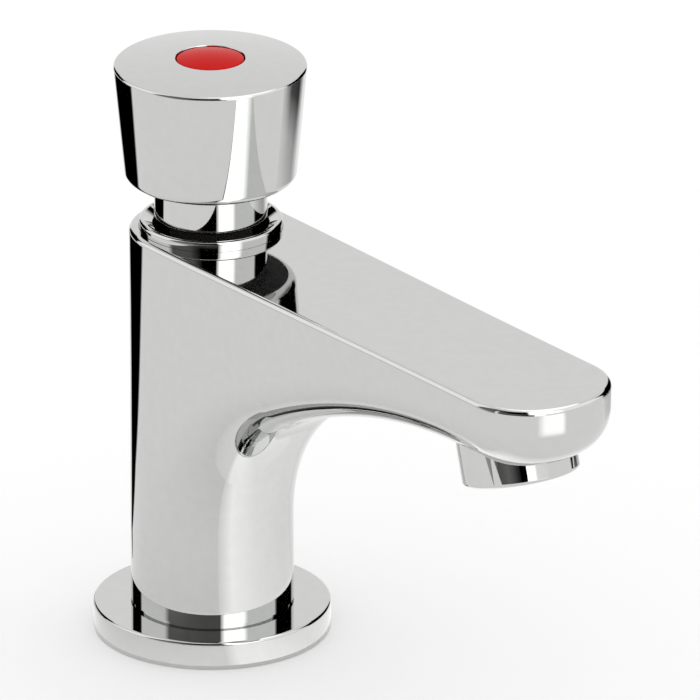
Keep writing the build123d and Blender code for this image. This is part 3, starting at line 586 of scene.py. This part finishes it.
def body_mesh():
    """Body as one mesh, with the collar's recess and the foot's groove and spigot."""
    made = bmesh.new()
    found = {}

    def at(point):
        key = tuple(round(c, 5) for c in point)
        if key not in found:
            found[key] = made.verts.new([c * MM for c in point])
        return found[key]

    def skin(lines):
        """Quads between neighbouring lines of equally many points."""
        for first, second in zip(lines, lines[1:]):
            for k in range(len(first) - 1):
                corners = []
                for point in (first[k], first[k + 1], second[k + 1], second[k]):
                    vertex = at(point)
                    if vertex not in corners:
                        corners.append(vertex)
                if len(corners) > 2 and made.faces.get(corners) is None:
                    made.faces.new(corners)

    turns = [90.0 * k / 180 for k in range(181)]
    lines = [belly_line(turn) for turn in turns]
    plan = plan_line(lines)
    skin(lines)
    # Lower column
    ring = [(x, y) for x, y, z in lines[0]] + [(p[0], p[1]) for p in reversed(plan[:49])]
    levels = [foot_z, 12.0, 18.0, bend_z]
    skin([[(x, y, z) for x, y in ring] for z in levels])
    # Side wall up to the rounded edge, the edge itself, and a narrow strip of the flat top
    wall = []
    for x, y, nx, ny, low in plan:
        high = top_at(y) - edge_r
        rise = [(x, y, low + (high - low) * k / 4) for k in range(5)]
        for k in range(1, 11):
            angle = radians(90 * k / 10)
            inset = edge_r * (1 - cos(angle))
            px, py = x - nx * inset, y - ny * inset
            rise.append((px, py, top_at(py) - edge_r * (1 - sin(angle))))
        px, py = x - nx * (edge_r + 0.05), y - ny * (edge_r + 0.05)
        rise.append((px, py, top_at(py)))
        wall.append([(max(a, 0.0), b, c) for a, b, c in rise])
    skin(wall)
    # Underside of the nose
    nose = [p for p in plan if p[1] <= -nose_start + 1e-6]
    under = []
    for x, y, nx, ny, low in nose:
        line = []
        inner_x, inner_y = x - nx * belly_r, y - ny * belly_r
        for k in range(3):
            line.append((inner_x * k / 3, inner_y, under_z))
        for k in range(27):
            angle = radians(90 * k / 26)
            inset, inward = belly_r * (1 - sin(angle)), belly_r * (1 - cos(angle))
            line.append((x - nx * inset, y - ny * inset, under_z + inward))
        under.append([(max(a, 0.0), b, c) for a, b, c in line])
    skin(under)
    # Flat top with the collar's recess
    rim = [line[-1] for line in wall]
    hole = []
    for k in range(97):
        angle = radians(-90 + 180 * k / 96)
        across, along = collar_seat_r * max(cos(angle), 0.0), collar_seat_r * sin(angle)
        hole.append((across, along, top_at(along)))
    top = [at(p) for p in rim] + [at(p) for p in hole]
    made.faces.new(top)
    inward = collar_seat_inner / collar_seat_r
    skin([hole, [(x, y, collar_seat_z) for x, y, z in hole],
          [(x * inward, y * inward, collar_seat_z) for x, y, z in hole]])
    # Groove at the foot, and the spigot that goes down through the flange
    foot = []
    for x, y in ring:
        size = hypot(x, y)
        across, along = x / size, y / size
        steps = [(groove_r, foot_z), (groove_r, groove_z), (spigot_r, groove_z),
                 (spigot_r, spigot_z), (inlet_r, spigot_z), (inlet_r, inlet_z)]
        foot.append([(x, y, foot_z)] + [(r * across, r * along, z) for r, z in steps])
    skin(foot)
    made.normal_update()
    corners = {at(p): True for line in foot for p in line[:6]}
    corners.update({at(p): True for p in hole})
    creased = [e for e in made.edges if e.verts[0] in corners and e.verts[1] in corners
               and len(e.link_faces) == 2 and e.calc_face_angle(0) > radians(35)]
    for edge in creased:
        edge.smooth = False
    # Other half
    both = bmesh.ops.duplicate(made, geom=made.verts[:] + made.edges[:] + made.faces[:])
    copies = [g for g in both["geom"] if isinstance(g, bmesh.types.BMVert)]
    bmesh.ops.scale(made, vec=(-1, 1, 1), verts=copies)
    bmesh.ops.reverse_faces(made, faces=[g for g in both["geom"]
                                         if isinstance(g, bmesh.types.BMFace)])
    middle = [v for v in made.verts if abs(v.co.x) < 1e-8]
    bmesh.ops.remove_doubles(made, verts=middle, dist=1e-7)
    bmesh.ops.recalc_face_normals(made, faces=made.faces)
    for face in made.faces:
        face.smooth = True
    mesh = bpy.data.meshes.new("spout_body")
    made.to_mesh(mesh)
    made.free()
    return add_object("spout_body", mesh)


finish_piece(body_mesh(), "tap", "chrome_body", "body")


# Studio: pale floor, white surroundings, and the cards that the metal mirrors

CAMERA_SIDE = -38.43
ON_FLOOR = 0.0006
CARD_STEPS = 6      # parts between two listed bearings


def direction(bearing):
    """Level direction at a bearing in degrees, counted from the camera's side to the right."""
    angle = radians(bearing + CAMERA_SIDE)
    return sin(angle), -cos(angle)


def card(name, *rows):
    """Card that only mirrors see. Each row is a radius, a height, bearings and their glows.

    The glow runs evenly from one listed value to the next, and from row to row.
    """
    mesh = bpy.data.meshes.new(name)
    points, glow, faces = [], [], []
    across = (len(rows[0][2]) - 1) * CARD_STEPS + 1
    for radius, height, bearings, glows in rows:
        for index in range(across):
            part, share = divmod(index, CARD_STEPS)
            after = min(part + 1, len(bearings) - 1)
            share /= CARD_STEPS
            bearing = bearings[part] + (bearings[after] - bearings[part]) * share
            east, north = direction(bearing)
            points.append((east * radius, north * radius, height))
            glow.append(glows[part] + (glows[after] - glows[part]) * share)
    for line in range(len(rows) - 1):
        for index in range(across - 1):
            k = line * across + index
            faces.append((k, k + 1, k + across + 1, k + across))
    mesh.from_pydata(points, [], faces)
    mesh.attributes.new("glow", "FLOAT", "POINT").data.foreach_set("value", glow)
    material = bpy.data.materials.new(name)
    material.use_nodes = True
    tree = material.node_tree
    tree.nodes.clear()
    out = tree.nodes.new("ShaderNodeOutputMaterial")
    emission = tree.nodes.new("ShaderNodeEmission")
    value = tree.nodes.new("ShaderNodeAttribute")
    value.attribute_name = "glow"
    tree.links.new(value.outputs["Fac"], emission.inputs["Strength"])
    tree.links.new(emission.outputs["Emission"], out.inputs["Surface"])
    mesh.materials.append(material)
    piece = add_object(name, mesh)
    piece.visible_camera = False
    piece.visible_diffuse = False
    piece.visible_shadow = False
    piece.visible_transmission = False
    piece.visible_volume_scatter = False


# Walls on the camera's side, dark in front, paler toward the floor and toward the left
LEFT = (-116, -70, -62, -45, -30)
card("left_wall",
     (0.30, 0.0, LEFT, (1.0, 0.80, 0.75, 0.50, 0.35)),
     (0.30, 0.09, LEFT, (1.0, 0.80, 0.75, 0.50, 0.35)),
     (0.30, 0.13, LEFT, (1.3, 1.3, 0.18, 0.18, 0.15)),
     (0.30, 0.70, LEFT, (1.3, 1.3, 0.18, 0.18, 0.12)))
FRONT = (-32, -24, -15, -8, 0, 6, 12)
card("front_wall",
     (0.44, 0.0, FRONT, (0.33, 0.11, 0.14, 0.17, 0.10, 0.04, 0.0)),
     (0.44, 0.12, FRONT, (0.33, 0.11, 0.14, 0.17, 0.10, 0.04, 0.0)),
     (0.44, 0.15, FRONT, (0.18, 0.17, 0.16, 0.15, 0.15, 0.15, 0.15)),
     (0.44, 0.20, FRONT, (0.18, 0.17, 0.16, 0.15, 0.15, 0.15, 0.15)),
     (0.44, 0.23, FRONT, (0.14, 0.06, 0.0, 0.0, 0.0, 0.0, 0.0)),
     (0.44, 0.90, FRONT, (0.14, 0.06, 0.0, 0.0, 0.0, 0.0, 0.0)))
card("black_slot",
     (0.43, 0.0, (10, 19.5), (0.0, 0.0)),
     (0.43, 0.12, (10, 19.5), (0.0, 0.0)))
card("bright_low",
     (0.42, 0.0, (19.5, 31, 34, 52), (1.9, 1.9, 1.15, 1.05)),
     (0.42, 0.13, (19.5, 31, 34, 52), (1.9, 1.9, 1.15, 1.05)))
card("bright_right",
     (0.40, 0.15, (12, 19, 44, 52), (0.5, 3.2, 3.2, 1.3)),
     (0.40, 0.90, (12, 19, 44, 52), (0.5, 3.2, 3.2, 1.3)))
card("pale_right",
     (0.40, 0.15, (52, 98), (1.3, 1.3)),
     (0.40, 0.90, (52, 98), (1.3, 1.3)))
# Black flags left and right behind the tap, and a dark ceiling on the camera's side
card("black_flag_right",
     (0.40, 0.0, (98, 102, 147, 152), (0.9, 0.0, 0.0, 0.9)),
     (0.40, 0.33, (98, 102, 147, 152), (0.9, 0.0, 0.0, 0.9)))
card("black_flag_left",
     (0.41, 0.05, (-154, -150, -120, -117), (0.9, 0.0, 0.0, 0.9)),
     (0.41, 0.33, (-154, -150, -120, -117), (0.9, 0.0, 0.0, 0.9)))
card("dark_ceiling",
     (0.30, 0.60, (-140, -110, -80, -30, 12), (0.9, 0.6, 0.05, 0.03, 0.03)),
     (0.80, 0.60, (-140, -110, -80, -30, 12), (0.9, 0.6, 0.05, 0.03, 0.03)))
# Pale ring and white patches on the floor, which the flange, the column and the nose mirror
RIM = (-120, -60, 8, 15, 30, 60, 120)
card("bright_rim",
     (0.0255, 0.0007, RIM, (1.1, 1.0, 1.05, 1.4, 1.4, 1.2, 1.2)),
     (0.038, 0.0007, RIM, (0.9, 0.9, 1.0, 1.35, 1.35, 1.2, 1.1)))
card("bright_foot",
     (0.03, ON_FLOOR, (8, 24, 60, 125), (1.0, 1.4, 1.2, 1.0)),
     (0.09, ON_FLOOR, (8, 24, 60, 125), (1.0, 1.4, 1.2, 1.0)),
     (0.12, ON_FLOOR, (8, 24, 60, 125), (1.0, 1.0, 1.0, 1.0)))
card("bright_nose",
     (0.26, ON_FLOOR, (24, 33, 48, 52), (1.0, 1.05, 1.05, 1.0)),
     (0.32, ON_FLOOR, (24, 33, 48, 52), (1.0, 1.7, 1.8, 1.0)),
     (0.39, ON_FLOOR, (24, 33, 48, 52), (1.0, 1.7, 1.8, 1.0)))
# Dark patches on the floor behind the tap, and a white one above it
card("black_left",
     (0.045, ON_FLOOR, (-133, -132, -131, -130), (0.8, 0.0, 0.0, 0.8)),
     (0.06, ON_FLOOR, (-146, -143, -139, -136), (0.8, 0.0, 0.0, 0.8)),
     (0.10, ON_FLOOR, (-149, -145, -129, -126), (0.8, 0.0, 0.0, 0.8)),
     (0.15, ON_FLOOR, (-151, -147, -119, -116), (0.8, 0.0, 0.0, 0.8)),
     (0.20, ON_FLOOR, (-154, -150, -114, -111), (0.8, 0.0, 0.0, 0.8)),
     (0.26, ON_FLOOR, (-160, -154, -110, -107), (0.8, 0.0, 0.0, 0.8)),
     (0.33, ON_FLOOR, (-162, -156, -107, -105), (0.8, 0.0, 0.0, 0.8)),
     (0.36, ON_FLOOR, (-175, -170, -107, -105), (0.8, 0.0, 0.0, 0.8)))
card("black_right",
     (0.18, ON_FLOOR, (98, 116, 132, 148), (0.95, 0.80, 0.65, 0.95)),
     (0.24, ON_FLOOR, (98, 116, 132, 148), (0.95, 0.60, 0.45, 0.95)),
     (0.28, ON_FLOOR, (98, 114, 134, 148), (0.90, 0.1, 0.05, 0.9)),
     (0.36, ON_FLOOR, (98, 114, 134, 148), (0.7, 0.0, 0.0, 0.9)))
card("bright_above",
     (0.05, 0.60, (40, 185), (1.8, 1.8)),
     (0.40, 0.60, (40, 185), (1.8, 1.8)))


def seen_directly(tree):
    """1 for what the camera, a mirror or glass sees directly, otherwise 0."""
    path = tree.nodes.new("ShaderNodeLightPath")
    first = tree.nodes.new("ShaderNodeMath")
    first.operation = "MAXIMUM"
    second = tree.nodes.new("ShaderNodeMath")
    second.operation = "MAXIMUM"
    tree.links.new(path.outputs["Is Camera Ray"], first.inputs[0])
    tree.links.new(path.outputs["Is Glossy Ray"], first.inputs[1])
    tree.links.new(first.outputs["Value"], second.inputs[0])
    tree.links.new(path.outputs["Is Transmission Ray"], second.inputs[1])
    return second.outputs["Value"]


floor_mesh = bpy.data.meshes.new("floor")
floor_mesh.from_pydata([(-6, -6, 0), (6, -6, 0), (6, 6, 0), (-6, 6, 0)], [], [(0, 1, 2, 3)])
floor = add_object("floor", floor_mesh)
floor_paint = bpy.data.materials.new("floor_white")
floor_paint.use_nodes = True
tree = floor_paint.node_tree
tree.nodes.clear()
floor_out = tree.nodes.new("ShaderNodeOutputMaterial")
floor_diffuse = tree.nodes.new("ShaderNodeBsdfDiffuse")
floor_diffuse.inputs["Color"].default_value = (0.9, 0.9, 0.9, 1)
floor_glow = tree.nodes.new("ShaderNodeEmission")
floor_scale = tree.nodes.new("ShaderNodeMath")
floor_scale.operation = "MULTIPLY"
floor_scale.inputs[1].default_value = 0.12
floor_sum = tree.nodes.new("ShaderNodeAddShader")
tree.links.new(seen_directly(tree), floor_scale.inputs[0])
tree.links.new(floor_scale.outputs["Value"], floor_glow.inputs["Strength"])
tree.links.new(floor_diffuse.outputs["BSDF"], floor_sum.inputs[0])
tree.links.new(floor_glow.outputs["Emission"], floor_sum.inputs[1])
tree.links.new(floor_sum.outputs["Shader"], floor_out.inputs["Surface"])
floor_mesh.materials.append(floor_paint)

world = bpy.data.worlds.new("studio")
bpy.context.scene.world = world
world.use_nodes = True
world.node_tree.nodes["Background"].inputs["Color"].default_value = (1, 1, 1, 1)
world.node_tree.nodes["Background"].inputs["Strength"].default_value = 1.0

# Camera at the photo's angle
camera_data = bpy.data.cameras.new("camera")
camera_data.lens = 785.2
camera_data.sensor_width = 36.0
camera_data.clip_start = 0.1
camera_data.clip_end = 50.0
camera = add_object("camera", camera_data)
camera.location = (-1.81474, -2.33371, 1.25661)
look = Vector((0.03608, -0.00111, 0.05334)) - Vector(camera.location)
camera.rotation_mode = "QUATERNION"
camera.rotation_quaternion = look.to_track_quat("-Z", "Y")
bpy.context.scene.camera = camera

bpy.context.scene.view_settings.view_transform = "Standard"
